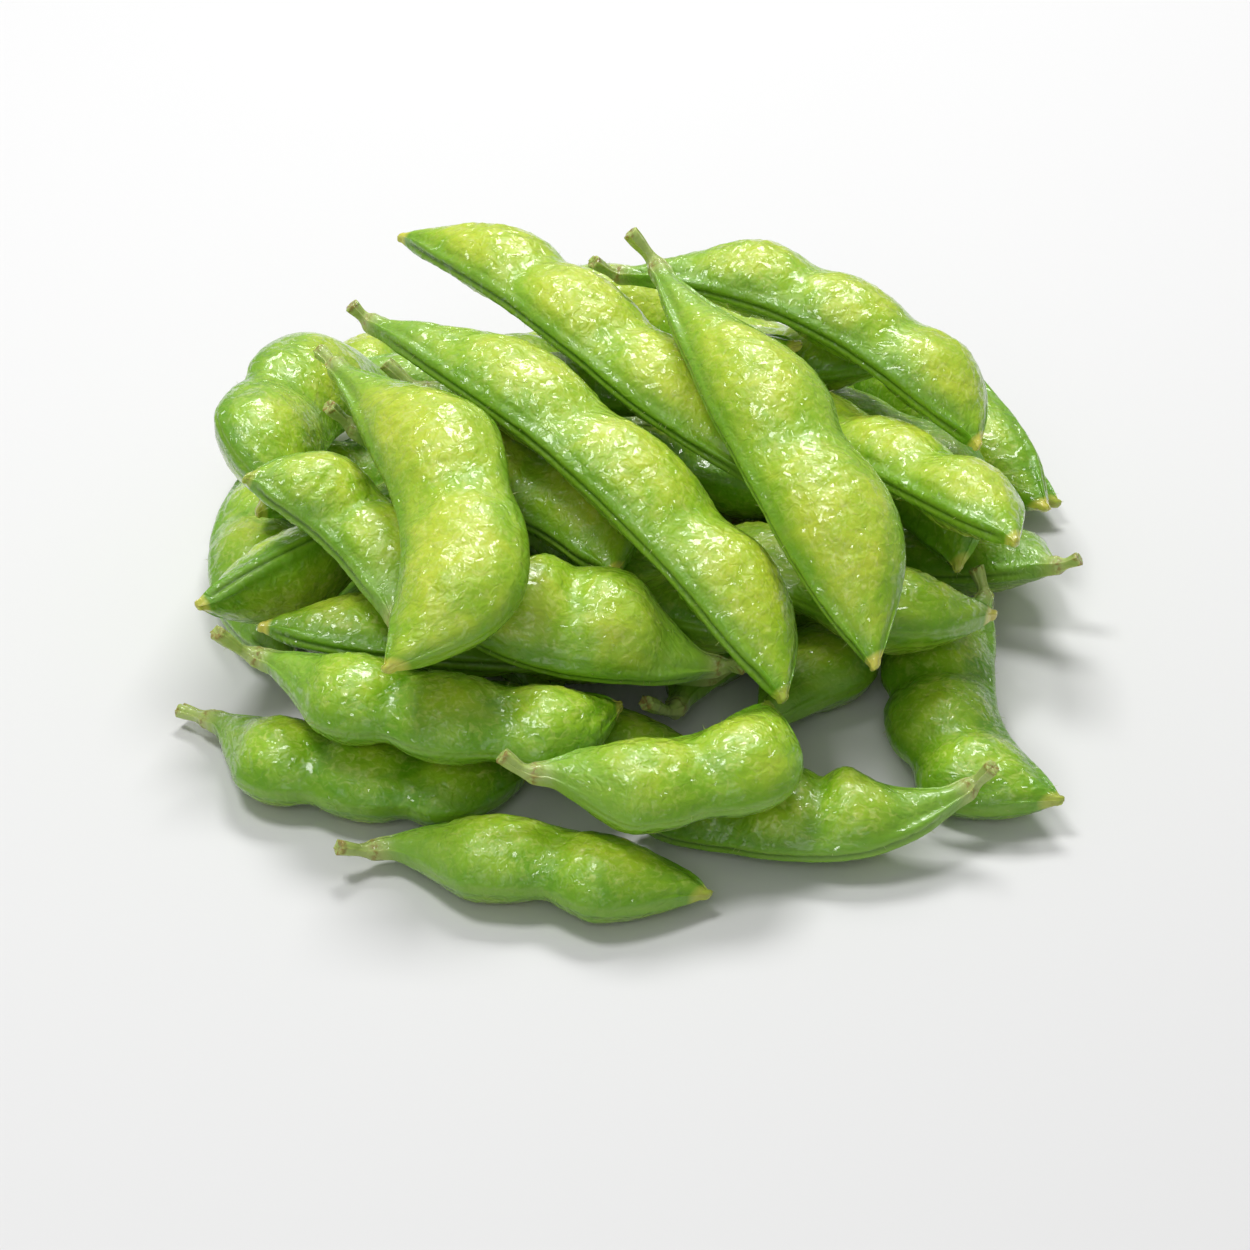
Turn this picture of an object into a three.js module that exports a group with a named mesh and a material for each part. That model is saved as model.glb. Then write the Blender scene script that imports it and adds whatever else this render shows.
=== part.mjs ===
// A bundle of boiled edamame pods, heaped loose as they are served: every pod is a closed solid of its own,
// with its beans showing as bulges, a raised seam along both edges, a beak at the tip and a short stalk.
//
// Units are millimetres, +Z is up and the heap rests on the plane z = 0, with its middle over the origin.
// Each pod is laid by hand between its neck and its tip. settle() then lets the pods sink and eases them
// apart, so that they rest on each other and none of them cross. The lowest ones are pressed a little flat.

import * as THREE from "three";

// ---- Driving dimensions ----

const CLEARANCE = 0.42; // least gap left between two pods
const SEAM_RISE = 0.55; // how far the seam stands out of the pod's edge
const SEAM_HALF_WIDTH = 0.75; // half the width of the flat seam strip
const STALK_RADIUS = 0.95;
const STALK_LENGTH = 5.2; // on average
const STALK_LENGTH_SPREAD = 1.4; // the most that one is longer or shorter
const SWAY_SPREAD = 1.1; // the most that a pod swings to one side and back
const DROOP_SPREAD = 1.3; // the most that a pod arches up or down, unless its line says more
const COLLAR_RADIUS = 1.7; // the withered calyx, where the stalk meets the neck
const NECK_RADIUS = 1.35;
const BEAK_RADIUS = 0.75; // at the very tip
const THICKNESS_SHARE = 0.66; // a pod's thickness through a bean, as a share of its width
const WAIST_WIDTH = 0.88; // between two beans, as a share of the width at one, unless its line says more
const WAIST_THICKNESS = 0.72; // the same for the thickness
const SEAM_PULL = 0.8; // how far a narrowing of the pod is taken up by its far edge alone
const MEAN_NARROWING = 0.18; // how much narrower than its width a pod is on average, as a share of it
const PRESS = 0.7; // how far the pods that lie on the surface are pressed flat against it

// ---- The pods ----
// neck and tip: where the ends of the pod's body are dropped from. width: across the seams, at a bean.
// beans: how many. bow: how far the pod curves to the left, seen from its neck. roll: degrees turned about
// its length, with 0 lying on its broad side. droop: how far its middle stands above its ends. seam: 1 has
// the main seam on the left, seen from the neck, and -1 on the right. waist: the width between two beans, as
// a share of the width at one. neckTaper and tipTaper: how much of the length the pod takes to reach its
// full width at that end.

const PODS = [
  // The base of the heap, on the surface.
  { name: "base_01", neck: [-53, -36, 6], tip: [-10, -42, 6], width: 14, beans: 3, bow: -4, roll: 8 },
  { name: "base_02", neck: [38, -48, 6], tip: [0, -46, 6], width: 13.5, beans: 3, bow: 5, roll: -5 },
  { name: "base_03", neck: [37, -10, 6], tip: [45, -54, 6], width: 14, beans: 3, bow: -6, roll: 10 },
  { name: "base_04", neck: [22, 42, 6], tip: [54, 16, 6], width: 14, beans: 3, bow: 5, roll: 6 },
  { name: "base_05", neck: [-38, 31, 6], tip: [4, 50, 6], width: 13.5, beans: 3, bow: 4, roll: -8 },
  { name: "base_06", neck: [-42, -20, 6], tip: [-50, 26, 6], width: 14, beans: 3, bow: 6, roll: 5 },
  { name: "base_07", neck: [-30, -30, 6], tip: [14, -40, 6], width: 13, beans: 2, bow: 5, roll: -10 },
  { name: "base_08", neck: [-28, 22, 6], tip: [-30, -24, 6], width: 13.5, beans: 2, bow: -5 },
  { name: "base_09", neck: [28, 32, 6], tip: [-24, 28, 6], width: 14, beans: 3, bow: -5 },
  { name: "base_10", neck: [-16, 16, 6], tip: [-8, -26, 6], width: 13.5, beans: 2, bow: 5, roll: 12 },
  { name: "base_11", neck: [26, -32, 6], tip: [27, 16, 6], width: 14, beans: 3, bow: -5 },
  { name: "base_12", neck: [12, -26, 6], tip: [12, 18, 6], width: 13, beans: 2, bow: -5, roll: -6 },
  { name: "base_13", neck: [-26, -47, 6], tip: [8, -64, 6], width: 13.5, beans: 2, bow: 4, roll: -6 },
  { name: "base_14", neck: [54, 2, 6], tip: [28, 14, 6], width: 13.5, beans: 1, bow: 2 },
  { name: "base_15", neck: [-2, 42, 6], tip: [38, 50, 6], width: 13, beans: 2, bow: 4, roll: 6 },

  // The second layer, which shows in the gaps and round the edge.
  { name: "edge_01", neck: [-45, -38, 22], tip: [1, -46, 22], width: 14, beans: 3, bow: -4 },
  { name: "edge_02", neck: [-10, -56, 20], tip: [21, -47, 20], width: 13.5, beans: 2, bow: -3, roll: 8 },
  { name: "edge_03", neck: [-12, 8, 24], tip: [-53, -24, 21], width: 15, beans: 2, bow: 2, roll: 75 },
  { name: "edge_04", neck: [10, -20, 22], tip: [-44, -30, 20], width: 13, beans: 3, bow: 3, roll: 5 },
  { name: "edge_05", neck: [-36, 31, 26], tip: [-43, -14, 26], width: 15, beans: 2, bow: -6, roll: -50 },
  { name: "edge_06", neck: [-6, 36, 24], tip: [-48, 6, 26], width: 12.5, beans: 3, bow: 3, roll: 15 },
  { name: "edge_07", neck: [8, 4, 22], tip: [43, -27, 22], width: 15, beans: 2, bow: -4, roll: 10 },
  { name: "edge_08", neck: [11, 30, 32], tip: [52, -2, 32], width: 14, beans: 2,
    bow: 7, roll: 20, seam: -1 },
  { name: "edge_09", neck: [-38, 36, 22], tip: [20, 42, 22], width: 13.5, beans: 3, bow: 5 },
  { name: "edge_10", neck: [28, 50, 20], tip: [51, 2, 18], width: 13, beans: 2, bow: 4, roll: 25 },
  { name: "edge_11", neck: [-12, 0, 24], tip: [26, -24, 24], width: 13, beans: 2, bow: 3 },
  { name: "edge_12", neck: [-5, 23, 28], tip: [46, 15, 24], width: 13.5, beans: 3, bow: 3 },

  // The third layer, with a few pods that fill the heap up at its back and in its core.
  { name: "mid_01", neck: [11, -31, 34], tip: [-21, -28, 34], width: 15.5, beans: 2,
    bow: 4, roll: -12, waist: 0.95 },
  { name: "mid_02", neck: [-32, 4, 29], tip: [3, -18, 29], width: 14.5, beans: 2,
    bow: 3, seam: -1, neckTaper: 0.22 },
  { name: "mid_03", neck: [-24, -32, 31], tip: [-46, -12, 32], width: 13, beans: 2, bow: -4, roll: 12 },
  { name: "mid_04", neck: [7, 18, 50], tip: [51, -25, 47], width: 13, beans: 3,
    bow: 3, roll: -10, seam: -1 },
  { name: "mid_05", neck: [2, 28, 66], tip: [51, 1, 62], width: 13.5, beans: 3,
    bow: 4, roll: -10, droop: 4, seam: -1 },
  { name: "mid_06", neck: [38, 30, 32], tip: [-12, 44, 34], width: 13, beans: 2, bow: -4 },
  { name: "mid_07", neck: [2, 31, 36], tip: [38, 12, 36], width: 12.5, beans: 2, bow: 3 },
  { name: "mid_08", neck: [-50, 26, 24], tip: [-26, 46, 24], width: 13.5, beans: 2, bow: 4 },
  { name: "core_01", neck: [20, 8, 30], tip: [-24, 22, 30], width: 14, beans: 3, bow: -4 },
  { name: "core_02", neck: [-12, 4, 30], tip: [36, 2, 30], width: 13, beans: 3, bow: 4 },
  { name: "core_03", neck: [-22, 12, 50], tip: [26, 12, 50], width: 13.5, beans: 3, bow: 3 },

  // The four on top.
  { name: "top_01", neck: [-26, 4, 76], tip: [-19, -49, 56], width: 15.2, beans: 2,
    bow: 7, droop: 1, seam: -1, waist: 0.88, neckTaper: 0.36, tipTaper: 0.2 },
  { name: "top_02", neck: [-33, 8, 80], tip: [23, -46, 66], width: 14.5, beans: 3,
    bow: 1, roll: -14, droop: 5, seam: -1, sway: 0, neckTaper: 0.22, tipTaper: 0.22 },
  { name: "top_03", neck: [21, -12, 62], tip: [-27, 33, 68], width: 13.5, beans: 3,
    bow: 2, roll: 16, droop: 4, tipTaper: 0.26 },
  { name: "top_04", neck: [7, 14, 98], tip: [33, -45, 78], width: 15, beans: 2,
    bow: -2, roll: 8, droop: 4, seam: -1, neckTaper: 0.44, tipTaper: 0.28 },
];

// ---- Shape of one pod ----
// Its own frame has +X from the neck to the tip, +Y to the left across the seams and +Z through its sides.

const smooth = (from, to, x) => {
  const t = Math.min(1, Math.max(0, (x - from) / (to - from)));
  return t * t * (3 - 2 * t);
};

// 1 over a bean, 0 between two beans and past the end ones. u runs from 0 at the neck to 1 at the tip.
const BEANS_FROM = 0.16;
const BEANS_TO = 0.94;
const TIP_ROUNDNESS = 0.95; // 0.5 rounds the end off like an ellipse, and 1 like a parabola
function beanAt(pod, u) {
  if (u <= BEANS_FROM || u >= BEANS_TO) return 0;
  const place = ((u - BEANS_FROM) / (BEANS_TO - BEANS_FROM)) * pod.beans;
  return Math.sin(Math.PI * (place % 1)) ** 0.8;
}

// Half the width and half the thickness of the pod at u.
function sectionAt(pod, u) {
  const bean = beanAt(pod, u);
  const toTip = Math.max(0, 1 - (1 - u) / pod.tipTaper);
  const swell = smooth(-0.03, pod.neckTaper, u) * Math.max(0, 1 - toTip ** 2) ** TIP_ROUNDNESS;
  const core = NECK_RADIUS * (1 - u) + BEAK_RADIUS * u;
  const full = (pod.width / 2 - core) * swell;
  const halfWidth = core + full * (pod.waist + (1 - pod.waist) * bean);
  const halfThickness = core + full * THICKNESS_SHARE * (WAIST_THICKNESS + (1 - WAIST_THICKNESS) * bean);
  return [halfWidth, halfThickness];
}

// The curve that the pod follows, as a point at u, the way it runs there, and the way to its main seam.
function curveAt(pod, u) {
  const arch = 1 - (2 * u - 1) ** 2 - 2 / 3;
  const y = pod.bow * arch + pod.sway * Math.sin(2 * Math.PI * u);
  return new THREE.Vector3((u - 0.5) * pod.length, y, pod.droop * arch);
}
const directionAt = (pod, u) => curveAt(pod, u + 0.01).sub(curveAt(pod, u - 0.01)).normalize();
const seamwards = (pod, along) => new THREE.Vector3(0, 0, pod.seam).cross(along).normalize();

// The middle of the pod's section at u. It keeps to the seam side where the pod narrows, so that the main
// seam runs straighter than the other edge.
function middleAt(pod, u) {
  const narrowed = pod.width / 2 - sectionAt(pod, u)[0];
  const pull = SEAM_PULL * (narrowed - pod.width * MEAN_NARROWING);
  return curveAt(pod, u).addScaledVector(seamwards(pod, directionAt(pod, u)), pull);
}

// Twelve points round the section, from the main seam's strip, over the broad side and back. y grows
// towards the main seam.
function outline(halfWidth, halfThickness, rise) {
  const strip = Math.min(SEAM_HALF_WIDTH, halfThickness * 0.5);
  const half = [
    [halfWidth + rise, strip],
    [halfWidth * 0.82, halfThickness * 0.57],
    [halfWidth * 0.33, halfThickness * 0.944],
    [-halfWidth * 0.33, halfThickness * 0.944],
    [-halfWidth * 0.82, halfThickness * 0.57],
    [-halfWidth - rise * 0.6, strip * 0.6],
  ];
  return [...half, ...half.map(([y, z]) => [y, -z]).reverse()];
}

// The stations along the pod's body: one on each bean, one between two, one on each flank and four where the
// tip is rounded off.
function stations(pod) {
  const list = [0, BEANS_FROM / 2];
  const step = (BEANS_TO - BEANS_FROM) / pod.beans;
  for (let quarter = 0; quarter < 4 * pod.beans; quarter++) list.push(BEANS_FROM + (step * quarter) / 4);
  const round = [1, 0.45, 0.12, 0].map((left) => 1 - pod.tipTaper * left);
  return [...list.filter((u) => u < round[0] - 0.05), ...round];
}

// The stalk leaves the neck and hooks sideways and up. turn runs from 0 at the neck to 1 at the cut. curl
// says which way it hooks and how strongly.
function stalkAt(pod, turn) {
  const hook = new THREE.Vector3(0, pod.curl * 0.5, Math.abs(pod.curl) * 0.8);
  return middleAt(pod, 0)
    .addScaledVector(directionAt(pod, 0), -pod.stalk * turn)
    .addScaledVector(hook, pod.stalk * turn * turn);
}

// Rings of points along the whole pod, from the cut end of the stalk to the tip.
function rings(pod) {
  const made = [];
  const addRing = (centre, along, points) => {
    const side = seamwards(pod, along);
    const up = along.clone().cross(side);
    made.push(points.map(([y, z]) => centre.clone().addScaledVector(side, y).addScaledVector(up, z)));
  };
  const stalk = [
    [1, STALK_RADIUS * 1.25],
    [0.4, STALK_RADIUS],
    [0.18, COLLAR_RADIUS],
  ];
  for (const [turn, radius] of stalk) {
    const centre = stalkAt(pod, turn);
    const along = stalkAt(pod, Math.max(0, turn - 0.1)).sub(stalkAt(pod, turn + 0.1)).normalize();
    addRing(centre, along, outline(radius, radius, 0));
  }
  for (const u of stations(pod)) {
    const rise = SEAM_RISE * smooth(0.02, 0.15, u) * smooth(1, 0.88, u);
    addRing(middleAt(pod, u), directionAt(pod, u), outline(...sectionAt(pod, u), rise));
  }
  return made;
}

// Skins the rings and closes both ends with a fan.
function podGeometry(pod) {
  const loops = rings(pod);
  const sides = loops[0].length;
  const points = loops.flat();
  const centreOf = (loop) => loop.reduce((sum, p) => sum.add(p), new THREE.Vector3()).divideScalar(sides);
  const first = points.push(centreOf(loops[0])) - 1;
  const last = points.push(centreOf(loops[loops.length - 1])) - 1;
  const faces = [];
  for (let k = 0; k < sides; k++) {
    const next = (k + 1) % sides;
    faces.push(first, next, k);
    for (let ring = 0; ring + 1 < loops.length; ring++) {
      const [a, b] = [ring * sides + k, ring * sides + next];
      const [c, d] = [a + sides, b + sides];
      faces.push(a, b, c, b, d, c);
    }
    const end = (loops.length - 1) * sides;
    faces.push(last, end + k, end + next);
  }
  const geometry = new THREE.BufferGeometry().setFromPoints(points);
  geometry.setIndex(faces);
  return geometry;
}

// ---- Settling the heap ----
// For contact, a pod is three rows of balls along its body and a few along its stalk. Each ball keeps its
// centre in the pod's frame and, once it is placed, in the world.

const BALL_ROWS = 17;
const SINKING_STEPS = 400;
const EASING_STEPS = 300;
const LEAST_CONTACT = 0.01; // a contact that is too slight to ease any further
const SINK = 0.28; // how far a pod may sink in one step
const GUIDE = 0.03; // how strongly both ends keep over the places where they were laid
const ROLL_GUIDE = 0.05; // how strongly a pod keeps its roll
const UP = new THREE.Vector3(0, 0, 1);
const LENGTHWAYS = new THREE.Vector3(1, 0, 0); // in a pod's own frame

function ballsOf(pod) {
  const balls = [];
  const add = (centre, radius) => {
    balls.push({ centre, radius: radius + CLEARANCE / 2, world: new THREE.Vector3() });
  };
  for (let row = 0; row <= BALL_ROWS; row++) {
    const u = row / BALL_ROWS;
    const [halfWidth, halfThickness] = sectionAt(pod, u);
    const radius = Math.min(halfWidth, halfThickness);
    const offset = Math.max(0, halfWidth + SEAM_RISE - radius);
    const across = seamwards(pod, directionAt(pod, u));
    for (const side of [-1, 0, 1]) {
      add(middleAt(pod, u).addScaledVector(across, side * offset), side ? radius * 0.97 : radius);
    }
  }
  add(stalkAt(pod, 0.2), COLLAR_RADIUS);
  for (const turn of [0.6, 1]) add(stalkAt(pod, turn), STALK_RADIUS * 1.2);
  return balls;
}

// The turn that points a pod along a direction, with its broad side as level as it goes, then rolls it.
function turnAlong(along, roll) {
  const across = UP.clone().cross(along).normalize();
  const basis = new THREE.Matrix4().makeBasis(along, across, along.clone().cross(across));
  const rolled = new THREE.Quaternion().setFromAxisAngle(LENGTHWAYS, THREE.MathUtils.degToRad(roll));
  return new THREE.Quaternion().setFromRotationMatrix(basis).multiply(rolled);
}

// Lays a pod from its neck to its tip. What its line leaves out is varied from pod to pod by its number.
function layPod(line, number) {
  const neck = new THREE.Vector3(...line.neck);
  const tip = new THREE.Vector3(...line.tip);
  const length = neck.distanceTo(tip);
  const pod = {
    length,
    stalk: STALK_LENGTH + STALK_LENGTH_SPREAD * Math.cos(number * 1.7),
    curl: Math.sin(number * 2.4),
    sway: SWAY_SPREAD * Math.sin(number * 1.3),
    droop: DROOP_SPREAD * Math.cos(number * 2.1),
    roll: 0,
    seam: 1,
    neckTaper: 0.28 + 0.05 * Math.sin(number * 1.9),
    tipTaper: 0.23 + 0.03 * Math.cos(number * 1.1),
    waist: WAIST_WIDTH,
    ...line,
  };
  const mass = length * pod.width ** 2;
  return {
    ...pod,
    place: neck.clone().add(tip).multiplyScalar(0.5),
    turn: turnAlong(tip.clone().sub(neck).normalize(), pod.roll),
    ends: [neck, tip],
    mass,
    // A slender body turns far more easily about its length than across it.
    inertia: new THREE.Vector3(pod.width ** 2 / 8, length ** 2 / 12, length ** 2 / 12).multiplyScalar(mass),
    balls: ballsOf(pod),
    reach: length / 2 + pod.stalk + Math.abs(pod.bow) + pod.width / 2,
  };
}

// How far a push of one unit along normal, at an arm from the pod's middle, moves it there.
function giveOf(pod, arm, normal) {
  const twist = arm.clone().cross(normal).applyQuaternion(pod.turn.clone().invert());
  return 1 / pod.mass + twist.clone().divide(pod.inertia).dot(twist);
}

function push(pod, arm, normal, amount) {
  pod.place.addScaledVector(normal, amount / pod.mass);
  const twist = arm.clone().cross(normal).multiplyScalar(amount).applyQuaternion(pod.turn.clone().invert());
  twist.divide(pod.inertia).applyQuaternion(pod.turn);
  const angle = twist.length();
  if (angle < 1e-9) return;
  const turned = new THREE.Quaternion().setFromAxisAngle(twist.divideScalar(angle), angle);
  pod.turn.premultiply(turned).normalize();
}

function placeBalls(pod) {
  for (const ball of pod.balls) ball.world.copy(ball.centre).applyQuaternion(pod.turn).add(pod.place);
}

// Draws both ends back over where they were laid, leaving their heights free, and brings the roll back.
function guide(pod) {
  const half = new THREE.Vector3(pod.length / 2, 0, 0).applyQuaternion(pod.turn);
  for (const [end, sign] of [[pod.ends[0], -1], [pod.ends[1], 1]]) {
    const arm = half.clone().multiplyScalar(sign);
    const error = end.clone().sub(pod.place).sub(arm).setZ(0);
    const distance = error.length();
    if (distance < 1e-6) continue;
    error.divideScalar(distance);
    push(pod, arm, error, (GUIDE * distance) / giveOf(pod, arm, error));
  }
  const wanted = turnAlong(LENGTHWAYS.clone().applyQuaternion(pod.turn), pod.roll);
  pod.turn.slerp(wanted, ROLL_GUIDE);
}

// Finds the deepest contact of two pods and parts them there, then looks once more.
function partPair(a, b) {
  let worst = 0;
  for (let again = 0; again < 2; again++) {
    let deepest = 0;
    let pair = null;
    for (const p of a.balls) {
      if (p.world.distanceToSquared(b.place) > (b.reach + p.radius) ** 2) continue;
      for (const q of b.balls) {
        const touching = p.radius + q.radius - deepest;
        if (p.world.distanceToSquared(q.world) >= touching ** 2) continue;
        deepest = p.radius + q.radius - p.world.distanceTo(q.world);
        pair = [p, q];
      }
    }
    if (!pair) break;
    worst = Math.max(worst, deepest);
    const normal = pair[0].world.clone().sub(pair[1].world).normalize();
    const touch = pair[1].world.clone().addScaledVector(normal, pair[1].radius);
    const [armA, armB] = [touch.clone().sub(a.place), touch.clone().sub(b.place)];
    const amount = deepest / (giveOf(a, armA, normal) + giveOf(b, armB, normal));
    push(a, armA, normal, amount);
    push(b, armB, normal, -amount);
    placeBalls(a);
    placeBalls(b);
  }
  return worst;
}

function liftOffSurface(pod) {
  const lowest = (ball) => ball.world.z - ball.radius + CLEARANCE / 2;
  for (let again = 0; again < 3; again++) {
    const ball = pod.balls.reduce((low, other) => (lowest(other) < lowest(low) ? other : low));
    const depth = -lowest(ball);
    if (depth <= 0) return;
    const arm = new THREE.Vector3(ball.world.x, ball.world.y, 0).sub(pod.place);
    push(pod, arm, UP, depth / giveOf(pod, arm, UP));
    placeBalls(pod);
  }
}

// Lets the pods sink, slower and slower, then only parts them until none of them cross.
function settle(pods) {
  for (let step = 0; step < SINKING_STEPS + EASING_STEPS; step++) {
    const sinking = step < SINKING_STEPS;
    if (sinking) {
      for (const pod of pods) {
        pod.place.z -= SINK * (1 - step / SINKING_STEPS);
        guide(pod);
      }
    }
    pods.forEach(placeBalls);
    let worst = 0;
    pods.forEach((pod, i) => {
      for (const other of pods.slice(i + 1)) {
        if (pod.place.distanceTo(other.place) > pod.reach + other.reach) continue;
        worst = Math.max(worst, partPair(pod, other));
      }
      liftOffSurface(pod);
    });
    if (!sinking && worst < LEAST_CONTACT) return;
  }
  throw new Error("The heap does not come apart: a pod has no room.");
}

// Presses what reaches below the surface flat against it.
function pressFlat(mesh) {
  mesh.updateMatrix();
  const toMesh = mesh.matrix.clone().invert();
  const corners = mesh.geometry.attributes.position;
  for (let i = 0; i < corners.count; i++) {
    const corner = new THREE.Vector3().fromBufferAttribute(corners, i).applyMatrix4(mesh.matrix);
    if (corner.z >= 0) continue;
    corner.setZ(0).applyMatrix4(toMesh);
    corners.setXYZ(i, ...corner);
  }
}

// ---- The bundle ----

const pods = PODS.map(layPod);
settle(pods);

const bundle = new THREE.Group();
for (const pod of pods) {
  const skin = new THREE.MeshStandardMaterial({ color: 0x86ad35, roughness: 0.28, metalness: 0 });
  const mesh = new THREE.Mesh(podGeometry(pod), skin);
  mesh.name = `pod_${pod.name}`;
  mesh.position.copy(pod.place).setZ(pod.place.z - PRESS);
  mesh.quaternion.copy(pod.turn);
  pressFlat(mesh);
  bundle.add(mesh);
}

// The heap's middle goes over the origin.
const middle = new THREE.Box3().setFromObject(bundle, true).getCenter(new THREE.Vector3());
bundle.position.set(-middle.x, -middle.y, 0);

export default bundle;
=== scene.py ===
"""A heap of boiled edamame pods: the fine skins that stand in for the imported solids.

Every packed pod is a plain closed solid, skinned over rings of twelve points. This script reads those rings
back, lofts a fine skin through them, and shapes on it what a boiled pod shows: the lips and groove of its
seams, the rounded bulge over each bean and the dents round it, the withered calyx, the cut stalk and the dry
nub of the beak. A Geometry Nodes tree then raises the blistered skin and sets the down along the seams.

Lengths are in metres, as in the frame, unless a name ends in _MM or a comment says millimetres.
"""

import logging
import math
from dataclasses import dataclass, field
from enum import Enum
from typing import Any

import bmesh
import bpy
import numpy as np
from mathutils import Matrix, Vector

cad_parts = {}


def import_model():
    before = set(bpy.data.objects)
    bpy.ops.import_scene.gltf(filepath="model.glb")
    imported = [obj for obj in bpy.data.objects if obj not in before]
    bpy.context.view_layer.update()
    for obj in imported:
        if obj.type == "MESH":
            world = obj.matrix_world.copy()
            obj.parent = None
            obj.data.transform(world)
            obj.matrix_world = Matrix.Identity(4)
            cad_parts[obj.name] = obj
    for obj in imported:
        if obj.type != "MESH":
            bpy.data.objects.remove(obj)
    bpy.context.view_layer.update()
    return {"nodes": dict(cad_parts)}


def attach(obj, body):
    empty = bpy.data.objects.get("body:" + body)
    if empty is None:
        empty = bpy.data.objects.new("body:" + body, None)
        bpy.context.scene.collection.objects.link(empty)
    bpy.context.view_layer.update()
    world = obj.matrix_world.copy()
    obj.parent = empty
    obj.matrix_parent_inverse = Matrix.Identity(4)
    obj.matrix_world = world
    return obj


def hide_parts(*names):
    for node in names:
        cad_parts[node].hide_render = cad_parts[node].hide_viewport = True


LOG = logging.getLogger("edamame")
MM = 0.001
WELD = 1e-6
FAR = 9.0  # farther than anything in the heap
HEAP_MIDDLE = Vector((0, 0, 0.02))


# ---- Small helpers ----


def linear(code: str) -> tuple[float, float, float, float]:
    """Turns an sRGB colour into the linear one that a shader reads.

    Args:
        code: the colour as six hex digits after a hash.

    Returns:
        Red, green, blue and an alpha of 1.
    """
    parts = [int(code[i : i + 2], 16) / 255 for i in (1, 3, 5)]
    return (*(p / 12.92 if p <= 0.04045 else ((p + 0.055) / 1.055) ** 2.4 for p in parts), 1.0)


def add_node(
    tree: bpy.types.NodeTree, kind: str, inputs: dict[Any, Any] | None = None, **settings: Any
) -> bpy.types.Node:
    """Adds a node with its settings, and links or sets its inputs.

    Args:
        tree: the node tree that the node goes into.
        kind: Blender's name for the type of node.
        inputs: for an input's name or number, either the output socket that feeds it or its value.
        **settings: properties of the node itself.

    Returns:
        The new node.
    """
    node = tree.nodes.new(kind)
    for name, value in settings.items():
        setattr(node, name, value)
    for key, value in (inputs or {}).items():
        if isinstance(value, bpy.types.NodeSocket):
            tree.links.new(value, node.inputs[key])
        else:
            node.inputs[key].default_value = value
    return node


def smooth(start: float, end: float, x: np.ndarray | float) -> np.ndarray:
    """A value that rises smoothly from 0 at start to 1 at end."""
    t = np.clip((np.asarray(x, float) - start) / (end - start), 0, 1)
    return t * t * (3 - 2 * t)


def bell(x: np.ndarray, centre: float, reach: float) -> np.ndarray:
    """A rounded bump that is 1 at its centre and fades out over about twice its reach."""
    return np.exp(-(((x - centre) / reach) ** 2))


def hermite(knots: np.ndarray, values: np.ndarray, at: np.ndarray) -> np.ndarray:
    """Passes a smooth curve through values that lie at uneven knots.

    Args:
        knots: the rising places of the values.
        values: the values, with the knots along their first axis.
        at: the places that the curve is read at.

    Returns:
        The curve's values, with the places along the first axis.
    """
    step = np.diff(knots)
    shape = (-1,) + (1,) * (values.ndim - 1)
    slope = np.diff(values, axis=0) / step.reshape(shape)
    before, after = step[:-1].reshape(shape), step[1:].reshape(shape)
    inner = (slope[:-1] * after + slope[1:] * before) / (before + after)
    tangent = np.concatenate([slope[:1], inner, slope[-1:]])
    k = np.clip(np.searchsorted(knots, at, side="right") - 1, 0, len(knots) - 2)
    t = ((at - knots[k]) / step[k]).reshape(shape)
    h = step[k].reshape(shape)
    return (
        (2 * t**3 - 3 * t**2 + 1) * values[k]
        + (t**3 - 2 * t**2 + t) * h * tangent[k]
        + (3 * t**2 - 2 * t**3) * values[k + 1]
        + (t**3 - t**2) * h * tangent[k + 1]
    )


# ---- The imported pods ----


class Layer(Enum):
    """The layers of the heap, by the word in a node's name: how closely each is meshed, and how yellow green
    its skin is, with painted shade deepening the green of the lower layers.
    """

    BASE = "base"
    EDGE = "edge"
    MID = "mid"
    CORE = "core"
    TOP = "top"

    @property
    def spacing_mm(self) -> float:
        """The distance between two rows of the skin's points, in millimetres."""
        return {Layer.TOP: 0.5, Layer.MID: 0.56, Layer.EDGE: 0.6}.get(self, 0.75)

    @property
    def yellowing_with_heap_shade(self) -> float:
        """How far the skin has turned from deep green to yellow green, by the layer. The upper pods are the
        palest. The deeper green given to the lower layers is painted shade: it stands for the shade that
        falls deep in the heap.
        """
        return {Layer.TOP: 0.72, Layer.MID: 0.63, Layer.EDGE: 0.46}.get(self, 0.36)


SIDES = 12  # points round one ring of a packed pod
STALK_RINGS = 3
FIRST_BEAN_RING = STALK_RINGS + 2  # where the first bean starts
RINGS_PER_BEAN = 4
TIP_RINGS = 4  # the rings that round the tip off, in place of the last of the beans' rings
MINOR_STRIP = 5  # the ring edge that is the minor seam: the main seam is the one opposite, from 11 to 0


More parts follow.
